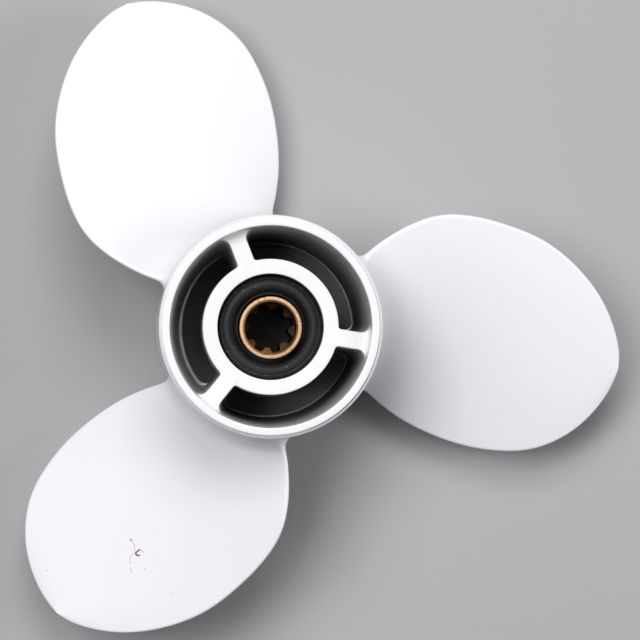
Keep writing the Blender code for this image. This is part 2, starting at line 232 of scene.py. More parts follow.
# White paint: colours, among them a painted shade for flat faces, then the overspray inside the barrel
# as its strength and the length over which it falls off, with painted light in one passage, then the
# limits between which one look changes into another
PAINT_WHITES = ((0.85, 0.83, 0.875, 1.0), (0.88, 0.865, 0.90, 1.0))
# Greyer white on the flat faces inside the rim that face straight up or down: painted shade
FLAT_FACE_SHADE_WHITE = (0.79, 0.775, 0.80, 1.0)
WALL_WHITE = (0.86, 0.835, 0.82, 1.0)
BARE_BLACKS = ((0.008, 0.008, 0.008, 1.0), (0.020, 0.020, 0.020, 1.0))
DIRT_COLOUR = (0.16, 0.13, 0.10, 1.0)
RIM_SPRAY = (1.0, 0.0024)
DEEP_SPRAY = (0.85, 0.030)
AFT_RIM_SPRAY = (1.0, 0.0025)
HUB_FACE_SPRAY = (0.8, 0.007)
# Painted light: how much whiter the walls of the passage between the second and third ribs are made
SECOND_PASSAGE_LIGHT = 0.60
INSIDE_RADII = (0.03225, 0.0326)
WALL_FACING = (0.30, 0.75)
# Where that painted shade of flat faces goes: how squarely they face up or down, and out to which
# radius
FLAT_FACING = (0.90, 0.98)
FLAT_RADII = (0.0350, 0.0356)
CORE_SIDE_RADII = (0.0295, 0.0310)
# Outer wall and rib sides, which take the painted light of that one passage
OUTER_WALL_RADII = (0.0255, 0.0285)
RIB_SIDES = (0.80, 0.88)         # of the nearness to a rib
RIB_FOOT = (0.90, 0.965)
RIB_FOOT_DEPTHS = (0.0060, 0.0072)
# Closeness to the middle of that passage over which its painted light comes in
SECOND_PASSAGE_LIGHT_ENDS = (0.50, 0.52)

# Rubber and sleeve metal: pairs of colours between which a noise varies
RUBBER_BLACKS = ((0.008, 0.009, 0.010, 1.0), (0.020, 0.021, 0.022, 1.0))
FLECK_COLOUR = (0.45, 0.45, 0.46, 1.0)
LIP_INNER_RADII = (0.0153, 0.0156)
LIP_OUTER_RADII = (0.0159, 0.0162)
BRIGHT_METAL = ((0.30, 0.166, 0.078, 1.0), (0.60, 0.415, 0.25, 1.0))
PIT_COLOUR = (0.10, 0.05, 0.03, 1.0)
# Browns inside the sleeve: the lighter pair towards -X, the darker pair towards +X, which is painted
# shade
LIGHTER_SIDE_BROWNS = ((0.17, 0.077, 0.025, 1.0), (0.34, 0.154, 0.050, 1.0))
SHADED_SIDE_BROWNS = ((0.020, 0.008, 0.002, 1.0), (0.045, 0.018, 0.005, 1.0))
BROWN_DEPTHS = (0.0003, 0.0030)
BUMP_HEIGHT = 0.0002


def arc(centre, radius, start, end, steps):
    """Points on an arc, from one angle in radians to another."""
    turn = (end - start) / steps
    return [(centre[0] + radius * cos(start + turn * i), centre[1] + radius * sin(start + turn * i))
            for i in range(steps + 1)]


def polar(radius, angle):
    """The point at an angle in radians."""
    return (radius * cos(angle), radius * sin(angle))


def rounded(corners, steps):
    """A closed outline whose corners, each a radius, a height and a rounding, are turned into arcs."""
    outline = []
    count = len(corners)
    for i, (radius, height, rounding) in enumerate(corners):
        corner = Vector((radius, height))
        if not rounding:
            outline.append(tuple(corner))
            continue
        before = (Vector(corners[i - 1][:2]) - corner).normalized()
        after = (Vector(corners[(i + 1) % count][:2]) - corner).normalized()
        half_angle = before.angle(after) / 2
        centre = corner + (before + after).normalized() * rounding / sin(half_angle)
        start = corner + before * rounding / tan(half_angle) - centre
        end = corner + after * rounding / tan(half_angle) - centre
        turn = atan2(start.cross(end), start.dot(end))
        for step in range(steps + 1):
            outline.append(tuple(centre + Matrix.Rotation(turn * step / steps, 2) @ start))
    return outline


def smooth_line(points, beyond, samples):
    """Points spread evenly by number along a smooth curve through the given ones, which would run
    on to the point beyond them."""
    padded = [tuple(2 * a - b for a, b in zip(points[0], points[1]))] + points + [beyond]
    line = []
    for i in range(samples + 1):
        place = i / samples * (len(points) - 1)
        start = min(int(place), len(points) - 2)
        t = place - start
        p0, p1, p2, p3 = padded[start:start + 4]
        line.append(tuple(0.5 * (2 * b + (c - a) * t + (2 * a - 5 * b + 4 * c - d) * t * t
                                 + (3 * b - a - 3 * c + d) * t ** 3)
                          for a, b, c, d in zip(p0, p1, p2, p3)))
    return line


def new_object(name, data):
    """An object of a mesh, a light or a camera, in the scene."""
    thing = bpy.data.objects.new(name, data)
    bpy.context.scene.collection.objects.link(thing)
    return thing


def finished_mesh(name, shape):
    """The mesh of a bmesh, which it frees, with its faces pointing out and shaded smooth."""
    bmesh.ops.recalc_face_normals(shape, faces=shape.faces)
    for face in shape.faces:
        face.smooth = True
    mesh = bpy.data.meshes.new(name)
    shape.to_mesh(mesh)
    shape.free()
    return mesh


def apply_modifiers(thing):
    """Replace the object's mesh by its evaluated one."""
    graph = bpy.context.evaluated_depsgraph_get()
    mesh = bpy.data.meshes.new_from_object(thing.evaluated_get(graph))
    thing.modifiers.clear()
    thing.data = mesh


def turned(name, profile, facets=FACETS):
    """A ring turned from a closed profile of radius and height."""
    shape = bmesh.new()
    rings = []
    for i in range(facets):
        angle = 2 * pi * i / facets
        rings.append([shape.verts.new((radius * cos(angle), radius * sin(angle), BLADE_LINE + height))
                      for radius, height in profile])
    count = len(profile)
    for i in range(facets):
        near = rings[i]
        far = rings[(i + 1) % facets]
        for j in range(count):
            k = (j + 1) % count
            shape.faces.new((near[j], near[k], far[k], far[j]))
    return new_object(name, finished_mesh(name, shape))


def loft(name, sections):
    """A closed solid through flat sections of equal point counts, from the lowest to the highest."""
    shape = bmesh.new()
    rings = [[shape.verts.new(point) for point in section] for section in sections]
    count = len(rings[0])
    for low, high in zip(rings, rings[1:]):
        for i in range(count):
            j = (i + 1) % count
            shape.faces.new((low[i], low[j], high[j], high[i]))
    shape.faces.new(reversed(rings[0]))
    shape.faces.new(rings[-1])
    return new_object(name, finished_mesh(name, shape))


def combine(target, tools, operation):
    """Cut the tools from the target, or join them to it, and remove them."""
    for tool in tools:
        boolean = target.modifiers.new(operation, 'BOOLEAN')
        boolean.operation = operation
        boolean.object = tool
    apply_modifiers(target)
    for tool in tools:
        bpy.data.objects.remove(tool, do_unlink=True)


def recess_radius(height):
    """The inner wall of the barrel from the front rim down to the parting line."""
    share = (height - PARTING_HEIGHT) / (FRONT_HEIGHT - PARTING_HEIGHT)
    return PARTING_OUTER_RADIUS + LEDGE + share * (RIM_INNER_RADIUS - PARTING_OUTER_RADIUS - LEDGE)


def passage_radius(height):
    """The outer wall of a passage: it narrows to the parting line and opens again behind it."""
    if height >= PARTING_HEIGHT:
        return recess_radius(height) - LEDGE
    share = (PARTING_HEIGHT - height) / (PARTING_HEIGHT - HUB_AFT_HEIGHT)
    return PARTING_OUTER_RADIUS + share * (AFT_OUTER_RADIUS - PARTING_OUTER_RADIUS)


def core_radius(height):
    """The inner wall of a passage: the inner hub is thickest at the parting line."""
    if height >= PARTING_HEIGHT:
        share = (height - PARTING_HEIGHT) / (FACE_HEIGHT - PARTING_HEIGHT)
    else:
        share = (PARTING_HEIGHT - height) / (PARTING_HEIGHT - HUB_AFT_HEIGHT) / 2
    return PARTING_INNER_RADIUS + share * (INNER_HUB_RADIUS - PARTING_INNER_RADIUS)


def barrel_radius(height):
    """The outside of the barrel: straight at the front, with a flare behind the blade line."""
    if height >= 0.0:
        share = height / FRONT_HEIGHT
        return WAIST_RADIUS + share * (SHOULDER_RADIUS - WAIST_RADIUS)
    share = height / AFT_HEIGHT
    return WAIST_RADIUS + share ** 2 * (FLARE_RADIUS - WAIST_RADIUS)


def hub_profile():
    """The section of the casting's turned hub."""
    ledge = FRONT_HEIGHT - LIP_HEIGHT
    high = ledge - SHOULDER_SLOPE - SIDE_MARGIN
    low = AFT_HEIGHT + SIDE_MARGIN
    corners = [(FRONT_LIP_RADIUS, FRONT_HEIGHT, LIP_ROUNDING),
               (FRONT_LIP_RADIUS + GROOVE_BOTTOM * GROOVE_WIDTH, ledge - GROOVE_DEPTH, GROOVE_ROUNDING),
               (FRONT_LIP_RADIUS + GROOVE_WIDTH, ledge, GROOVE_EDGE_ROUNDING),
               (SHOULDER_RADIUS, ledge - SHOULDER_SLOPE, SHOULDER_ROUNDING)]
    sides = [high + (low - high) * i / SIDE_STEPS for i in range(SIDE_STEPS + 1)]
    corners += [(barrel_radius(height), height, 0.0) for height in sides]
    corners += [(FLARE_RADIUS, AFT_HEIGHT, AFT_RIM_ROUNDING),
                (AFT_INNER_RADIUS, AFT_HEIGHT, RIM_ROUNDING),
                (AFT_INNER_RADIUS - AFT_SLOPE_WIDTH, AFT_HEIGHT + AFT_SLOPE_HEIGHT, 0.0),
                (AFT_OUTER_RADIUS + 2 * LEDGE, HUB_AFT_HEIGHT, 0.0),
                (BUSH_BORE_RADIUS, HUB_AFT_HEIGHT, BORE_AFT_ROUNDING),
                (BUSH_BORE_RADIUS, FACE_HEIGHT, BORE_FRONT_ROUNDING),
                (recess_radius(FACE_HEIGHT), FACE_HEIGHT, RECESS_FILLET),
                (RIM_INNER_RADIUS, FRONT_HEIGHT, RIM_ROUNDING)]
    return rounded(corners, ROUNDING_STEPS)


def half_rib_thickness(height):
    """Half a rib's thickness, which is greatest at the parting line."""
    end = FACE_HEIGHT if height >= PARTING_HEIGHT else HUB_AFT_HEIGHT
    return RIB_THICKNESS / 2 + RIB_DRAFT * max((end - height) / (end - PARTING_HEIGHT), 0.0)


def passage_outline(height, growth, step=0.0, shift=Vector((0.0, 0.0))):
    """The rounded section of an exhaust passage whose middle is at the angle 0. Its mouth grows into
    the hub and ribs, and an aft core is smaller by a step and shifted."""
    outer = passage_radius(height) - step
    inner = core_radius(height) - growth
    half_rib = half_rib_thickness(height) - growth
    side = pi / BLADES
    outer_turn = asin((half_rib + OUTER_CORNER) / (outer - OUTER_CORNER))
    inner_turn = asin((half_rib + INNER_CORNER) / (inner + INNER_CORNER))
    outer_arc = arc((0.0, 0.0), outer, 0.0, side - outer_turn, OUTER_ARC_STEPS)
    outer_corner = arc(polar(outer - OUTER_CORNER, side - outer_turn), OUTER_CORNER,
                       side - outer_turn, side + pi / 2, OUTER_CORNER_STEPS)
    inner_corner = arc(polar(inner + INNER_CORNER, side - inner_turn), INNER_CORNER,
                       side + pi / 2, side - inner_turn + pi, INNER_CORNER_STEPS)
    inner_arc = arc((0.0, 0.0), inner, side - inner_turn, 0.0, INNER_ARC_STEPS)
    half = outer_arc[:-1] + outer_corner + inner_corner + inner_arc[1:]
    mirrored = [(x, -y) for x, y in reversed(half[1:-1])]
    return [(x + shift.x, y + shift.y, BLADE_LINE + height) for x, y in half + mirrored]


def passage_cutter(index):
    """The two cores that leave one exhaust passage open, with rounded mouths and a ledge where they
    meet, because the front one leans and the aft one is smaller and a little out of line."""
    angle = radians(FIRST_RIB) + (2 * index + 1) * pi / BLADES
    lean = Matrix.Rotation(-angle, 2) @ CORE_LEAN
    shift = lean + Matrix.Rotation(-angle, 2) @ PARTING_SHIFTS[index]
    outlines = [passage_outline(HUB_AFT_HEIGHT - CORE_OVERRUN, MOUTH_ROUNDING)]
    for i in range(MOUTH_STEPS + 1):
        turn = pi / 2 * i / MOUTH_STEPS
        outlines.append(passage_outline(HUB_AFT_HEIGHT + MOUTH_ROUNDING * sin(turn),
                                        MOUTH_ROUNDING * (1 - sin(turn))))
    for i in range(1, AFT_CORE_STEPS + 1):
        share = i / AFT_CORE_STEPS
        height = HUB_AFT_HEIGHT + share * (PARTING_HEIGHT - PARTING_GAP - HUB_AFT_HEIGHT)
        outlines.append(passage_outline(height, 0.0, share * PARTING_STEP, share * shift))
    for i in range(FRONT_CORE_STEPS):
        height = PARTING_HEIGHT + PARTING_GAP + (FACE_HEIGHT - PARTING_HEIGHT) * i / FRONT_CORE_STEPS
        outlines.append(passage_outline(height, 0.0, 0.0, (1 - i / FRONT_CORE_STEPS) * lean))
    for i in range(MOUTH_STEPS + 1):
        turn = pi / 2 * i / MOUTH_STEPS
        outlines.append(passage_outline(FACE_HEIGHT - MOUTH_ROUNDING * cos(turn),
                                        MOUTH_ROUNDING * (1 - cos(turn))))
    outlines.append(passage_outline(FACE_HEIGHT + CORE_OVERRUN, MOUTH_ROUNDING))
    cutter = loft("passage", outlines)
    cutter.rotation_euler.z = angle
    return cutter


def fillet_growth(clearance, size):
    """How far a blade's root spreads at a distance from the barrel, as a fillet of some size."""
    reach = min(max(size - clearance, 0.0), FILLET_SHARE * size)
    return size - sqrt(size ** 2 - reach ** 2)


def blade_point(radius, angle, offset):
    """A point beside the blade's middle surface, a raked helicoid, at an offset across it."""
    advance = PITCH / (2 * pi)
    slant = hypot(radius, advance)
    around = angle - offset * advance / slant / radius
    height = advance * angle - tan(RAKE) * (radius - WAIST_RADIUS) + offset * radius / slant
    return Vector((radius * cos(around), radius * sin(around), BLADE_LINE + height))


def half_thickness(middle_radius, place, depth, edge):
    """Half a section's thickness at a place from -1 to 1 along it, at a depth from its nearer end."""
    share = max(middle_radius - WAIST_RADIUS, 0.0) / (TIP_RADIUS - WAIST_RADIUS)
    middle = (ROOT_THICKNESS + share * (TIP_THICKNESS - ROOT_THICKNESS)) / 2
    rounding = sqrt(max(2 * edge * depth - depth ** 2, 0.0))
    return rounding + max(middle - EDGE_RADIUS, 0.0) * (1 - place ** 2)


def blade_section(lead, trail):
    """The points of a blade's section from its leading edge to its trailing edge, front side first."""
    middle_radius = (lead[0] + trail[0]) / 2
    clearance = middle_radius - WAIST_RADIUS
    spread = fillet_growth(clearance, ROOT_FILLET)
    reach = fillet_growth(clearance, EDGE_FILLET)
    slant = hypot(middle_radius, PITCH / (2 * pi))
    chord = slant * radians(lead[1] - trail[1]) / 2 + reach
    edge = min(EDGE_RADIUS + spread, chord)
    front = []
    back = []
    for i in range(CHORD_STEPS + 1):
        place = cos(pi * i / CHORD_STEPS)
        radius = middle_radius + place * (lead[0] - trail[0]) / 2
        angle = radians(lead[1] + trail[1]) / 2 + place * chord / slant
        half = half_thickness(middle_radius, place, min(chord * (1 - abs(place)), edge), edge)
        front.append(blade_point(radius, angle, half))
        back.append(blade_point(radius, angle, -half))
    return front, back


def blade_edge(points, other_edge):
    """An edge of the blade, from inside the barrel's wall through the fillet and on to the tip,
    where it runs smoothly into the other edge."""
    base = points[0][0] - WAIST_RADIUS
    root = [(WAIST_RADIUS - ROOT_DEPTH, points[0][1])]
    root += [(WAIST_RADIUS + base * (i / FILLET_STEPS) ** 2, points[0][1]) for i in range(FILLET_STEPS)]
    return root + smooth_line(points + [TIP], other_edge[-1], SPAN_STEPS)[:-1]


def blade(index):
    """A blade lofted from inside the barrel's wall to its tip."""
    shape = bmesh.new()
    loops = []
    leading = blade_edge(LEADING_EDGE, TRAILING_EDGE)
    trailing = blade_edge(TRAILING_EDGE, LEADING_EDGE)
    for lead, trail in zip(leading, trailing):
        front, back = blade_section(lead, trail)
        loops.append([shape.verts.new(point) for point in front + back[-2:0:-1]])
    count = len(loops[0])
    for inner, outer in zip(loops, loops[1:]):
        for i in range(count):
            j = (i + 1) % count
            shape.faces.new((inner[i], outer[i], outer[j], inner[j]))
    for i in range(CHORD_STEPS):
        corners = [loops[0][i], loops[0][i + 1], loops[0][-i - 1], loops[0][-i % count]]
        shape.faces.new(list(dict.fromkeys(corners)))
    tip = shape.verts.new(blade_point(TIP[0], radians(TIP[1]), 0.0))
    for i in range(count):
        shape.faces.new((loops[-1][i], tip, loops[-1][(i + 1) % count]))
    made = new_object("blade", finished_mesh("blade", shape))
    made.rotation_euler.z = radians(FIRST_BLADE) + index * 2 * pi / BLADES
    return made


def propeller_casting():
    """The casting in one mesh: barrel, ribs, inner hub and blades."""
    casting = turned("casting_surface", hub_profile())
    combine(casting, [passage_cutter(index) for index in range(BLADES)], 'DIFFERENCE')
    combine(casting, [blade(index) for index in range(BLADES)], 'UNION')
    casting.data.set_sharp_from_angle(angle=CREASE)
    casting.data.materials.clear()
    casting.data.materials.append(paint_material())
    return casting


def streak(shape, surface, half_width, places):
    """Add a thin closed streak, half sunk in the marked blade's paint along some places on it."""
    turn = FIRST_BLADE + MARKED_BLADE * 360.0 / BLADES
    points = []
    for radius, angle in places:
        x, y = polar(radius, radians(angle + turn))
        points.append(surface.ray_cast(Vector((x, y, 1.0)), Vector((0.0, 0.0, -1.0)))[0])
    line = []
    for start, end in zip(points, points[1:]):
        line += [start.lerp(end, i / STREAK_STEPS) for i in range(STREAK_STEPS)]
    line.append(points[-1])
    turns = [2 * pi * j / STREAK_SIDES for j in range(STREAK_SIDES)]
    rings = []
    for i, point in enumerate(line):
        along = (line[min(i + 1, len(line) - 1)] - line[max(i - 1, 0)]).normalized()
        side = along.cross(Vector((0.0, 0.0, 1.0))).normalized()
        thickness = half_width * (STREAK_END if i in (0, len(line) - 1) else 1.0)
        rings.append([shape.verts.new(point + side * thickness * cos(angle)
                                      + side.cross(along) * thickness * STREAK_HEIGHT * sin(angle))
                      for angle in turns])
    for near, far in zip(rings, rings[1:]):
        for j in range(STREAK_SIDES):
            k = (j + 1) % STREAK_SIDES
            shape.faces.new((near[j], near[k], far[k], far[j]))
    shape.faces.new(rings[0])
    shape.faces.new(reversed(rings[-1]))


def marks(name, casting, streaks, colour):
    """Streaks of one colour in the marked blade's paint, in one piece."""
    surface = BVHTree.FromPolygons([corner.co for corner in casting.data.vertices],
                                   [face.vertices for face in casting.data.polygons])
    shape = bmesh.new()
    for half_width, places in streaks:
        streak(shape, surface, half_width, places)
    piece = new_object(name, finished_mesh(name, shape))
    piece.data.materials.append(plain_material(name, colour, MARK_ROUGHNESS))
    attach(piece, "root")


def rubber_bush():
    """The bush, alike at both ends."""
    section = smooth_line(BUSH_SECTION, BUSH_SECTION_BEYOND, BUSH_SAMPLES)
    front = [(radius, BUSH_FRONT_HEIGHT + below) for radius, below in section]
    aft = [(radius, BUSH_AFT_HEIGHT - below) for radius, below in reversed(section)]
    bush = turned("bush_surface", front + aft, BUSH_FACETS)
    bush.data.materials.append(rubber_material())
    return bush


def tooth_flank(width):
    """How far a tooth's flank has come from its tip to its foot, and how far round, in steps."""
    flank = []
    for i in range(1, FLANK_STEPS):
        rise = (1 - cos(pi * i / FLANK_STEPS)) / 2
        share = FLANK_ROUNDNESS * rise + (1 - FLANK_ROUNDNESS) * i / FLANK_STEPS
        flank.append((rise, share * width))
    return flank


def tooth_space_outline(height):
    """The section of the sleeve's splined hole: a circle with rounded teeth left standing in it."""
    outline = []
    step = 2 * pi / SPLINE_TEETH
    half_tip = TOOTH_TIP_WIDTH / 2 / SPLINE_INNER_RADIUS
    half_base = TOOTH_BASE_WIDTH / 2 / SPLINE_OUTER_RADIUS
    depth = SPLINE_OUTER_RADIUS - SPLINE_INNER_RADIUS
    flank = tooth_flank(half_base - half_tip)
    for tooth in range(SPLINE_TEETH):
        middle = radians(FIRST_TOOTH) + tooth * step
        outline += arc((0.0, 0.0), SPLINE_INNER_RADIUS, middle - half_tip, middle + half_tip,
                       TOOTH_TIP_STEPS)
        outline += [polar(SPLINE_INNER_RADIUS + rise * depth, middle + half_tip + turn)
                    for rise, turn in flank]
        outline += arc((0.0, 0.0), SPLINE_OUTER_RADIUS, middle + half_base, middle + step - half_base,
                       TOOTH_SPACE_STEPS)
        outline += [polar(SPLINE_OUTER_RADIUS - rise * depth, middle + step - half_base + turn)
                    for rise, turn in flank]
    return [(x, y, BLADE_LINE + height) for x, y in outline]


def splined_sleeve():
    """The metal sleeve in the bush, with a plain counterbore and a spline behind it."""
    hole = SPLINE_INNER_RADIUS - TURNED_HOLE_MARGIN
    bottom = SLEEVE_FRONT_HEIGHT - COUNTERBORE_DEPTH
    corners = [(SLEEVE_RADIUS, SLEEVE_FRONT_HEIGHT, SLEEVE_FRONT_ROUNDING),
               (SLEEVE_RADIUS, SLEEVE_AFT_HEIGHT, SLEEVE_AFT_ROUNDING),
               (hole, SLEEVE_AFT_HEIGHT, 0.0), (hole, bottom, 0.0),
               (COUNTERBORE_RADIUS, bottom + COUNTERBORE_BEVEL, 0.0),
               (COUNTERBORE_RADIUS, SLEEVE_FRONT_HEIGHT - MOUTH_CHAMFER, MOUTH_INNER_ROUNDING),
               (COUNTERBORE_RADIUS + MOUTH_CHAMFER, SLEEVE_FRONT_HEIGHT, MOUTH_OUTER_ROUNDING)]
    sleeve = turned("sleeve_surface", rounded(corners, SLEEVE_ROUNDING_STEPS), SLEEVE_FACETS)
    heights = [SLEEVE_AFT_HEIGHT - SPLINE_OVERRUN, bottom + SPLINE_OVERRUN]
    combine(sleeve, [loft("spline", [tooth_space_outline(height) for height in heights])], 'DIFFERENCE')
    sleeve.data.set_sharp_from_angle(angle=CREASE)
    sleeve.location.y = SLEEVE_OFFSET
    sleeve.data.materials.clear()
    sleeve.data.materials.append(sleeve_material())
    return sleeve


def node(tree, kind, inputs=None, **settings):
    """A shader node with its settings and inputs, which are values or other nodes' sockets."""
    made = tree.nodes.new(kind)
    for name, value in settings.items():
        setattr(made, name, value)
    for name, value in (inputs or {}).items():
        if isinstance(value, bpy.types.NodeSocket):
            tree.links.new(value, made.inputs[name])
        else:
            made.inputs[name].default_value = value
    return made


def calc(tree, operation, first, second=0.0, third=0.0):
    """The result of a Math node."""
    return node(tree, "ShaderNodeMath", {0: first, 1: second, 2: third}, operation=operation).outputs[0]


def ramp(tree, value, low, high):
    """A value mapped smoothly to 0 at low and 1 at high."""
    inputs = {"Value": value, "From Min": low, "From Max": high}
    return node(tree, "ShaderNodeMapRange", inputs, interpolation_type='SMOOTHSTEP').outputs["Result"]


def drop(tree, value, low, high):
    """A value mapped smoothly to 1 at low and 0 at high."""
    return calc(tree, 'SUBTRACT', 1.0, ramp(tree, value, low, high))


def mix(tree, share, first, second):
    """A colour between two."""
    made = node(tree, "ShaderNodeMix", data_type='RGBA')
    for name, value in (("Factor_Float", share), ("A_Color", first), ("B_Color", second)):
        socket = next(s for s in made.inputs if s.identifier == name)
        if isinstance(value, bpy.types.NodeSocket):
            tree.links.new(value, socket)
        else:
            socket.default_value = value
    return next(s for s in made.outputs if s.identifier == "Result_Color")


def noise_value(tree, place, scale, detail=2.0, roughness=0.5):
    """A noise texture's value."""
    inputs = {"Vector": place, "Scale": scale, "Detail": detail, "Roughness": roughness}
    return node(tree, "ShaderNodeTexNoise", inputs).outputs["Fac"]


def new_material(name):
    """A material with its tree, its Principled shader and the place on the object."""
    material = bpy.data.materials.new(name)
    material.use_nodes = True
    tree = material.node_tree
    place = node(tree, "ShaderNodeTexCoord").outputs["Object"]
    return material, tree, tree.nodes["Principled BSDF"], place


def plain_material(name, colour, roughness):
    """A material of one colour."""
    material = bpy.data.materials.new(name)
    material.use_nodes = True
    shader = material.node_tree.nodes["Principled BSDF"]
    shader.inputs["Base Color"].default_value = colour
    shader.inputs["Roughness"].default_value = roughness
    return material


def add_bump(tree, shader, height, strength):
    """Small bumps in a shader's surface."""
    inputs = {"Height": height, "Strength": strength, "Distance": BUMP_HEIGHT}
    bump = node(tree, "ShaderNodeBump", inputs)
    tree.links.new(bump.outputs["Normal"], shader.inputs["Normal"])


def axis_values(tree, place):
    """The distance from the shaft axis and the height of a place."""
    parts = node(tree, "ShaderNodeSeparateXYZ", {0: place})
    across = calc(tree, 'POWER', parts.outputs["X"], 2.0)
    along = calc(tree, 'POWER', parts.outputs["Y"], 2.0)
    return calc(tree, 'SQRT', calc(tree, 'ADD', across, along)), parts.outputs["Z"]


def falling(tree, distance, start, length):
    """A value that starts at zero distance and falls off over a length."""
    power = calc(tree, 'POWER', 2.718, calc(tree, 'DIVIDE', distance, -length))
    return calc(tree, 'MULTIPLY', power, start)


def angle_value(tree, place):
    """The angle of a place round the shaft axis."""
    parts = node(tree, "ShaderNodeSeparateXYZ", {0: place})
    return calc(tree, 'ARCTAN2', parts.outputs["Y"], parts.outputs["X"])


def rib_nearness(tree, angle):
    """A value that is 1 at the angle of a rib and -1 halfway between two."""
    return calc(tree, 'COSINE', calc(tree, 'MULTIPLY_ADD', angle, BLADES, -BLADES * radians(FIRST_RIB)))


def second_passage_light(tree, angle):
    """A value that is 1 between the second and third ribs, where the walls of that passage get painted
    light: whiter paint for light that reaches far into it.
    """
    middle = radians(FIRST_RIB) + pi
    closeness = calc(tree, 'COSINE', calc(tree, 'SUBTRACT', angle, middle))
    return ramp(tree, closeness, *SECOND_PASSAGE_LIGHT_ENDS)


def overspray(tree, place, radius, height, grain):
    """How much white paint has reached a place inside the barrel, from 0 to 1, with painted light added
    on the walls of the passage between the second and third ribs.
    """
    depth = calc(tree, 'SUBTRACT', BLADE_LINE + FRONT_HEIGHT, height)
    from_aft = calc(tree, 'SUBTRACT', height, BLADE_LINE + AFT_HEIGHT)
    from_hub_face = calc(tree, 'SUBTRACT', BLADE_LINE + FACE_HEIGHT, height)
    angle = angle_value(tree, place)
    nearness = rib_nearness(tree, angle)
    # Painted light: whiter outer wall and rib sides in the passage between the second and third ribs,
    # for light that reaches far into it
    walls_with_painted_light = calc(tree, 'MAXIMUM', ramp(tree, radius, *OUTER_WALL_RADII),
                         ramp(tree, nearness, *RIB_SIDES))
    second = calc(tree, 'MULTIPLY', second_passage_light(tree, angle), SECOND_PASSAGE_LIGHT)
    second = calc(tree, 'MULTIPLY', second, walls_with_painted_light)
    deep = calc(tree, 'MAXIMUM', falling(tree, depth, *DEEP_SPRAY), second)
    near_hub_face = calc(tree, 'MULTIPLY', falling(tree, from_hub_face, *HUB_FACE_SPRAY),
                         drop(tree, radius, *CORE_SIDE_RADII))
    spray_and_light = calc(tree, 'ADD', falling(tree, depth, *RIM_SPRAY), deep)
    spray_and_light = calc(tree, 'ADD', spray_and_light, falling(tree, from_aft, *AFT_RIM_SPRAY))
    spray_and_light = calc(tree, 'ADD', spray_and_light, near_hub_face)
    spray_and_light = calc(tree, 'MULTIPLY', spray_and_light, calc(tree, 'ADD', grain, 0.2))
    by_rib = calc(tree, 'MULTIPLY', ramp(tree, nearness, *RIB_FOOT),
                  drop(tree, depth, *RIB_FOOT_DEPTHS))
    return calc(tree, 'MINIMUM', calc(tree, 'MAXIMUM', spray_and_light, by_rib), 1.0)


def paint_material():
    """White gloss paint, which thins out as overspray inside the barrel, where the casting is black,
    with painted shade on its flat faces inside the rim and painted light in one passage.
    """
    material, tree, shader, place = new_material("white_paint")
    radius, height = axis_values(tree, place)
    normal = node(tree, "ShaderNodeNewGeometry").outputs["Normal"]
    facing = calc(tree, 'ABSOLUTE', node(tree, "ShaderNodeSeparateXYZ", {0: normal}).outputs["Z"])
    speckle = noise_value(tree, place, scale=2600.0, detail=3.0, roughness=0.7)
    cloud = noise_value(tree, place, scale=160.0, detail=3.0)
    grain = calc(tree, 'ADD', calc(tree, 'MULTIPLY', speckle, 0.8), calc(tree, 'MULTIPLY', cloud, 0.8))
    spray_and_light = overspray(tree, place, radius, height, grain)
    inner_wall = calc(tree, 'MULTIPLY', drop(tree, radius, *INSIDE_RADII),
                      drop(tree, facing, *WALL_FACING))
    bare = calc(tree, 'MULTIPLY', inner_wall, calc(tree, 'SUBTRACT', 1.0, spray_and_light))

    patch = noise_value(tree, place, scale=18.0, detail=2.0)
    # Painted shade: the flat faces inside the rim get the greyer white
    flat = calc(tree, 'MULTIPLY', ramp(tree, facing, *FLAT_FACING), drop(tree, radius, *FLAT_RADII))
    white = mix(tree, patch, *PAINT_WHITES)
    white = mix(tree, flat, white, FLAT_FACE_SHADE_WHITE)
    white = mix(tree, inner_wall, white, WALL_WHITE)
    colour = mix(tree, bare, white, mix(tree, cloud, *BARE_BLACKS))
    speck = node(tree, "ShaderNodeTexVoronoi", {"Vector": place, "Scale": 90.0}, feature='F1')
    tiny = calc(tree, 'LESS_THAN', speck.outputs["Distance"], 0.018)
    rare = calc(tree, 'GREATER_THAN', noise_value(tree, place, scale=40.0, detail=1.0), 0.62)
    dirt = calc(tree, 'MULTIPLY', calc(tree, 'MULTIPLY', tiny, rare), 0.5)
    colour = mix(tree, dirt, colour, DIRT_COLOUR)
    tree.links.new(colour, shader.inputs["Base Color"])

    gloss = calc(tree, 'MULTIPLY_ADD', noise_value(tree, place, scale=60.0, detail=4.0), 0.10, 0.12)
    tree.links.new(calc(tree, 'MULTIPLY_ADD', bare, 0.32, gloss), shader.inputs["Roughness"])
    shader.inputs["Coat Weight"].default_value = 0.20
    shader.inputs["Coat Roughness"].default_value = 0.12
    peel = noise_value(tree, place, scale=420.0, detail=2.0)
    texture = calc(tree, 'MULTIPLY_ADD', calc(tree, 'MULTIPLY', speckle, bare), 0.9,
                   calc(tree, 'MULTIPLY', peel, 0.12))
    add_bump(tree, shader, texture, 0.25)
    return material


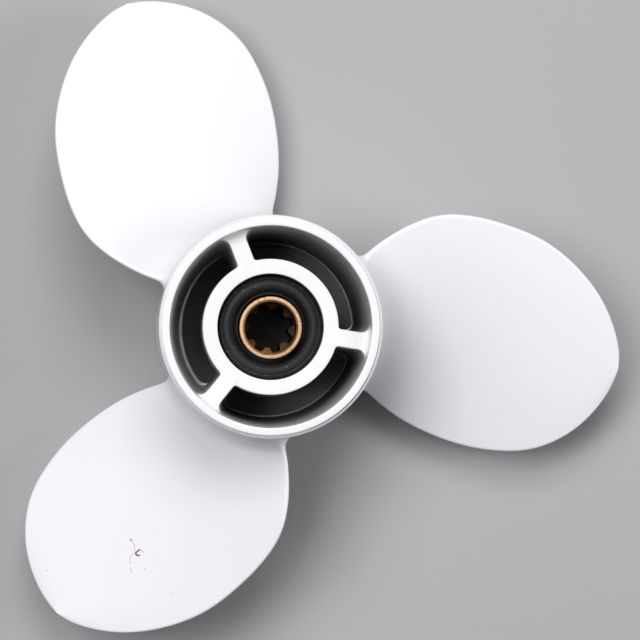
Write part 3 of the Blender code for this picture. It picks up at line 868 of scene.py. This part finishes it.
def rubber_material():
    """Moulded black rubber, a little dusty, with fine paint specks on its outer lip."""
    material, tree, shader, place = new_material("black_rubber")
    radius = axis_values(tree, place)[0]
    cloud = noise_value(tree, place, scale=240.0, detail=4.0)
    dust = noise_value(tree, place, scale=1500.0, detail=3.0, roughness=0.7)
    lip = calc(tree, 'MULTIPLY', ramp(tree, radius, *LIP_INNER_RADII),
               drop(tree, radius, *LIP_OUTER_RADII))
    fleck = calc(tree, 'GREATER_THAN', dust, 0.64)
    scatter = calc(tree, 'GREATER_THAN', noise_value(tree, place, scale=900.0, detail=1.0), 0.735)
    mark = calc(tree, 'ADD', calc(tree, 'MULTIPLY', lip, fleck), calc(tree, 'MULTIPLY', scatter, 0.7))
    mark = calc(tree, 'MINIMUM', calc(tree, 'MULTIPLY', mark, 0.35), 1.0)
    colour = mix(tree, mark, mix(tree, cloud, *RUBBER_BLACKS), FLECK_COLOUR)
    tree.links.new(colour, shader.inputs["Base Color"])
    tree.links.new(calc(tree, 'MULTIPLY_ADD', cloud, 0.2, 0.56), shader.inputs["Roughness"])
    shader.inputs["Specular IOR Level"].default_value = 0.34
    add_bump(tree, shader, dust, 0.25)
    return material


def sleeve_material():
    """Machined yellow metal, bright and pitted on its front ring, brown inside, and darker inside
    towards +X as painted shade.
    """
    material, tree, shader, place = new_material("sleeve_metal")
    height = axis_values(tree, place)[1]
    grain = noise_value(tree, place, scale=1800.0, detail=4.0, roughness=0.65)
    cloud = noise_value(tree, place, scale=500.0, detail=2.0)
    pit = calc(tree, 'GREATER_THAN', noise_value(tree, place, scale=1100.0, detail=1.0), 0.66)
    bright = mix(tree, calc(tree, 'MULTIPLY', pit, 0.8), mix(tree, grain, *BRIGHT_METAL), PIT_COLOUR)
    # Painted shade: the inside grows darker from -X to +X
    across = node(tree, "ShaderNodeSeparateXYZ", {0: place}).outputs["X"]
    brown = mix(tree, ramp(tree, across, -SPLINE_OUTER_RADIUS, SPLINE_OUTER_RADIUS),
                mix(tree, cloud, *LIGHTER_SIDE_BROWNS), mix(tree, cloud, *SHADED_SIDE_BROWNS))
    depth = calc(tree, 'SUBTRACT', BLADE_LINE + SLEEVE_FRONT_HEIGHT, height)
    colour = mix(tree, ramp(tree, depth, *BROWN_DEPTHS), bright, brown)
    tree.links.new(colour, shader.inputs["Base Color"])
    shader.inputs["Metallic"].default_value = 0.85
    tree.links.new(calc(tree, 'MULTIPLY_ADD', grain, 0.25, 0.38), shader.inputs["Roughness"])
    add_bump(tree, shader, grain, 0.35)
    return material


def floor():
    """A plain pale floor under the aft rim."""
    shape = bmesh.new()
    bmesh.ops.create_grid(shape, x_segments=1, y_segments=1, size=FLOOR_SIZE)
    plane = new_object("floor", finished_mesh("floor", shape))
    plane.location.z = FLOOR_HEIGHT - FLOOR_CLEARANCE
    plane.data.materials.append(plain_material("floor", FLOOR_COLOUR, FLOOR_ROUGHNESS))


def lamp(name, azimuth, elevation, power):
    """A square soft light that points at the propeller from an azimuth and elevation in degrees."""
    data = bpy.data.lights.new(name, 'AREA')
    data.size = LAMP_SIZE
    data.energy = power
    light = new_object(name, data)
    across, along = polar(LAMP_DISTANCE * cos(radians(elevation)), radians(azimuth))
    light.location = (across, along, LAMP_DISTANCE * sin(radians(elevation)))
    light.rotation_euler = (-light.location).to_track_quat('-Z', 'Y').to_euler()


def lights():
    """Soft studio light, mostly from the top of the picture."""
    for name, azimuth, elevation, power in LAMPS:
        lamp(name, azimuth, elevation, power)
    world = bpy.data.worlds.new("studio")
    world.use_nodes = True
    background = world.node_tree.nodes["Background"]
    background.inputs["Color"].default_value = WORLD_COLOUR
    background.inputs["Strength"].default_value = WORLD_STRENGTH
    bpy.context.scene.world = world
    bpy.context.scene.view_settings.view_transform = 'Standard'


def camera():
    """The photograph's camera, looking nearly straight down at the front end."""
    data = bpy.data.cameras.new("camera")
    data.lens = FOCAL_LENGTH
    data.sensor_width = SENSOR_WIDTH
    data.clip_end = CLIP_END
    made = new_object("camera", data)
    made.location = CAMERA_PLACE + Vector((0.0, 0.0, BLADE_LINE))
    made.rotation_mode = 'QUATERNION'
    made.rotation_quaternion = Matrix.Rotation(CAMERA_TURN.length, 3, CAMERA_TURN).to_quaternion()
    bpy.context.scene.camera = made


def dress(piece, node_name):
    """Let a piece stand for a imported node, in its finish."""
    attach(piece, "root")
    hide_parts(node_name)


camera()
lights()
floor()
casting = propeller_casting()
dress(casting, "propeller_casting")
dots = [(size, [(radius, angle - SPECK_HALF_ANGLE), (radius, angle + SPECK_HALF_ANGLE)])
        for size, radius, angle in SPECKS]
marks("dark_marks", casting, DARK_STREAKS + dots, DARK_MARK)
marks("brown_mark", casting, BROWN_STREAKS, BROWN_MARK)
marks("faint_marks", casting, FAINT_STREAKS, FAINT_MARK)
dress(rubber_bush(), "rubber_bush")
dress(splined_sleeve(), "splined_sleeve")
